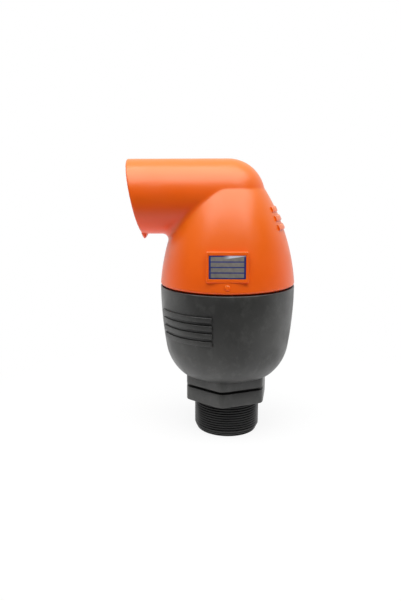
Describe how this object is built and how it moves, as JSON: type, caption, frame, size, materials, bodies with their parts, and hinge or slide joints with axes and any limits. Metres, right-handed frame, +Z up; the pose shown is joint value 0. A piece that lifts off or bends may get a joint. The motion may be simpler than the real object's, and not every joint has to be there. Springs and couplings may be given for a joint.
{
  "type": "air release valve",
  "caption": "Plastic air release valve with a threaded inlet, a dark grey bowl and an orange screw-on cover with a side outlet.",
  "frame": {"origin": "on the valve's axis at the shoulder under the hexagon, where the inlet thread ends", "axes": "+Z up along the valve's axis, -X along the outlet, -Y towards the label"},
  "size_m": [0.1486, 0.1205, 0.2472],
  "materials": {
    "grey_nylon": "moulded, fine texture",
    "orange_nylon": "moulded, satin",
    "black_nylon": "moulded",
    "white_acetal": "moulded, satin",
    "white_polypropylene": "moulded",
    "blue_film": "printed film",
    "rubber": "moulded",
    "stainless_steel": "turned",
    "brass": "turned"
  },
  "bodies": {
    "body": {"lower_body": "grey_nylon", "float_cage": "black_nylon"},
    "cover_ring": {"cover_o_ring": "rubber"},
    "cover": {"upper_cover": "orange_nylon", "orifice_seat": "white_acetal", "seat_o_ring": "rubber", "label_plate": "blue_film"},
    "plug": {"plug": "black_nylon", "kinetic_seal": "rubber", "seal_clamp": "white_acetal", "clamp_screws": "stainless_steel", "nozzle": "brass", "nozzle_washer": "rubber", "fulcrum_pin": "stainless_steel"},
    "lever": {"lever": "white_acetal", "lever_button": "rubber"},
    "float": {"float_shell": "white_polypropylene", "float_cap": "white_polypropylene", "float_hanger": "white_acetal", "hanger_pin": "stainless_steel", "hanger_screws": "stainless_steel"}
  },
  "joints": [
    {"name": "cover_lift", "type": "slide", "parent": "body", "child": "cover_ring", "axis": [0, 0, 1], "range_m": [0, 0.009]},
    {"name": "cover_turn", "type": "hinge", "parent": "cover_ring", "child": "cover", "pos_m": [0, 0, 0.1048], "axis": [0, 0, 1], "range_deg": [0, 540]},
    {"name": "plug_rise", "type": "slide", "parent": "body", "child": "plug", "axis": [0, 0, 1], "range_m": [0, 0.012]},
    {"name": "float_rise", "type": "slide", "parent": "plug", "child": "float", "axis": [0, 0, 1], "range_m": [0, 0.005]},
    {"name": "lever_swing", "type": "hinge", "parent": "plug", "child": "lever", "pos_m": [0.02, 0, 0.1125], "axis": [0, 1, 0], "range_deg": [0, 15.5]}
  ],
  "couplings": [
    {"joint": "cover_lift", "follows": "cover_turn", "m_per_rad": 0.000954},
    {"joint": "lever_swing", "follows": "float_rise", "rad_per_m": 49.99}
  ]
}
